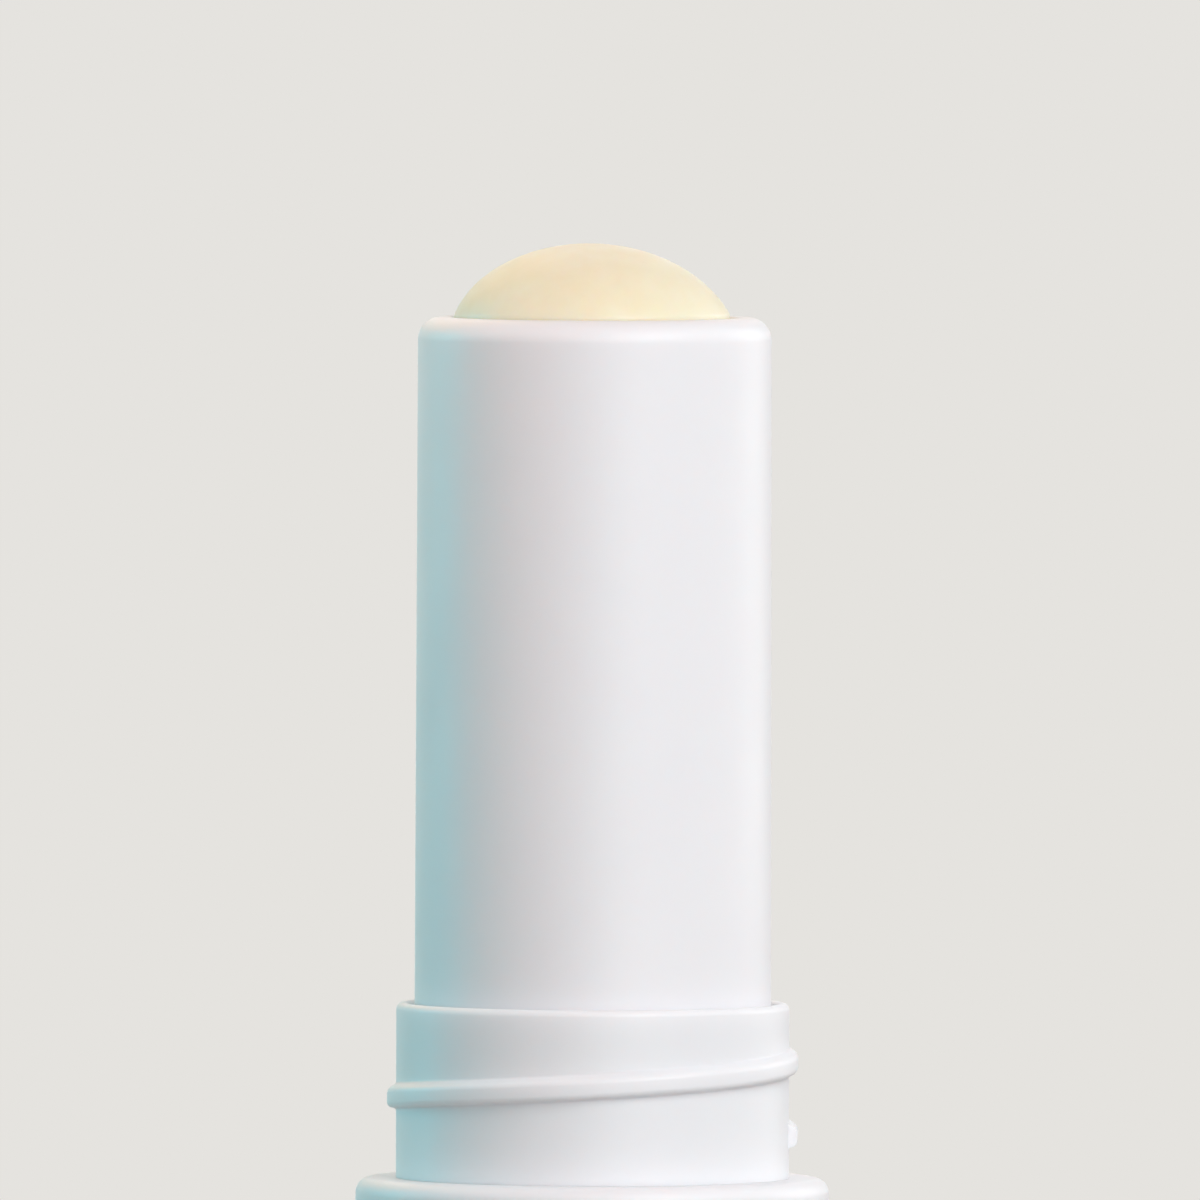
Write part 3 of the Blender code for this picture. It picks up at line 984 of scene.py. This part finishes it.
# one for the camera, a reflection or a ray that passes through, and nothing for light that spreads
def seenDirectly(tree):
    path = addNode(tree, "ShaderNodeLightPath")
    seen = addNode(
        tree, "ShaderNodeMath", {"operation": "ADD"}, {},
        {0: path.outputs["Is Camera Ray"], 1: path.outputs["Is Glossy Ray"]})
    return addNode(
        tree, "ShaderNodeMath", {"operation": "ADD", "use_clamp": True}, {},
        {0: seen.outputs["Value"], 1: path.outputs["Is Transmission Ray"]}).outputs["Value"]


def makeFloor(look):
    deselectAll()
    bpy.ops.mesh.primitive_circle_add(
        vertices=look["floorSides"], radius=mm(look["floorRadius"]), fill_type="NGON",
        location=(0, 0, -mm(look["floorDrop"])))
    floor = bpy.context.object
    floor.name = "floor"
    # Painted board, rolled: matt and pale
    material, tree, shader, place = newMaterial("paintedBoard")
    paint = addNode(
        tree, "ShaderNodeTexNoise", {},
        {"Scale": grain(look["paintSize"]), "Detail": look["paintDetail"]}, {"Vector": place})
    bump = addNode(
        tree, "ShaderNodeBump", {}, {"Distance": mm(look["paintDepth"])},
        {"Height": paint.outputs["Fac"]})
    seen = seenDirectly(tree)
    tint = addNode(
        tree, "ShaderNodeMix", {"data_type": "RGBA"},
        {mixFirst: linear(look["floorBounce"]), mixSecond: linear(look["floor"])},
        {"Factor": seen})
    tree.links.new(bump.outputs["Normal"], shader.inputs["Normal"])
    tree.links.new(tint.outputs[mixResult], shader.inputs["Base Color"])
    shader.inputs["Roughness"].default_value = look["floorRoughness"]
    even = addNode(tree, "ShaderNodeEmission", {}, {"Color": linear(look["floor"])})
    share = addNode(
        tree, "ShaderNodeMath", {"operation": "MULTIPLY"}, {1: look["floorEvenness"]}, {0: seen})
    shown = addNode(
        tree, "ShaderNodeMixShader", {}, {},
        {0: share.outputs["Value"], 1: shader.outputs["BSDF"], 2: even.outputs["Emission"]})
    tree.links.new(shown.outputs["Shader"], tree.nodes["Material Output"].inputs["Surface"])
    floor.data.materials.append(material)


def makeLamp(name, look):
    turn = math.radians(look["azimuth"])
    rise = math.radians(look["elevation"])
    outwards = Vector((
        math.sin(turn) * math.cos(rise), -math.cos(turn) * math.cos(rise), math.sin(rise)))
    aim = Vector((0, 0, mm(look["aimHeight"])))
    deselectAll()
    bpy.ops.object.light_add(type="AREA", location=aim + outwards * mm(look["distance"]))
    lamp = bpy.context.object
    lamp.name = name
    lamp.rotation_euler = outwards.to_track_quat("Z", "Y").to_euler()
    lamp.data.shape = "DISK"
    lamp.data.size = mm(look["size"])
    lamp.data.energy = look["watts"]
    lamp.data.color = linear(look["colour"])[:3]
    lamp.visible_camera = False


# a dim even light all round; the camera and reflections see the pale backdrop instead
def makeWorld(look):
    world = bpy.data.worlds.new("studio")
    bpy.context.scene.world = world
    world.use_nodes = True
    tree = world.node_tree
    tree.nodes.clear()
    ambient = addNode(
        tree, "ShaderNodeBackground", {},
        {"Color": linear(look["ambient"]), "Strength": look["ambientStrength"]})
    backdrop = addNode(
        tree, "ShaderNodeBackground", {},
        {"Color": linear(look["backdrop"]), "Strength": look["backdropStrength"]})
    mix = addNode(
        tree, "ShaderNodeMixShader", {}, {},
        {0: seenDirectly(tree), 1: ambient.outputs["Background"],
         2: backdrop.outputs["Background"]})
    addNode(tree, "ShaderNodeOutputWorld", {}, {}, {"Surface": mix.outputs["Shader"]})


# The camera: a long lens a little above the rim, so that the rings look almost flat, as in the
# photograph
cameraLook = {
    "distance": 1573,
    "height": 99.3,
    "aimHeight": 50.27,
    "aimAcross": 0.25,
    "frameWidth": 50.4,       # what the frame spans at the stick
    "roll": 0.17,
    "sensor": 36,
}


def makeCamera(look):
    place = Vector((mm(look["aimAcross"]), -mm(look["distance"]), mm(look["height"])))
    aim = Vector((mm(look["aimAcross"]), 0, mm(look["aimHeight"])))
    deselectAll()
    bpy.ops.object.camera_add(location=place)
    camera = bpy.context.object
    camera.name = "camera"
    camera.rotation_euler = (place - aim).to_track_quat("Z", "Y").to_euler()
    camera.rotation_euler.rotate_axis("Z", math.radians(look["roll"]))
    camera.data.sensor_width = look["sensor"]
    camera.data.lens = look["sensor"] * (place - aim).length / mm(look["frameWidth"])
    bpy.context.scene.camera = camera


makeFloor(studio)
for lampName, lampLook in lamps.items():
    makeLamp(lampName, lampLook)
makeWorld(studio)
makeCamera(cameraLook)
bpy.context.scene.view_settings.view_transform = "Standard"
print("studio and camera set")
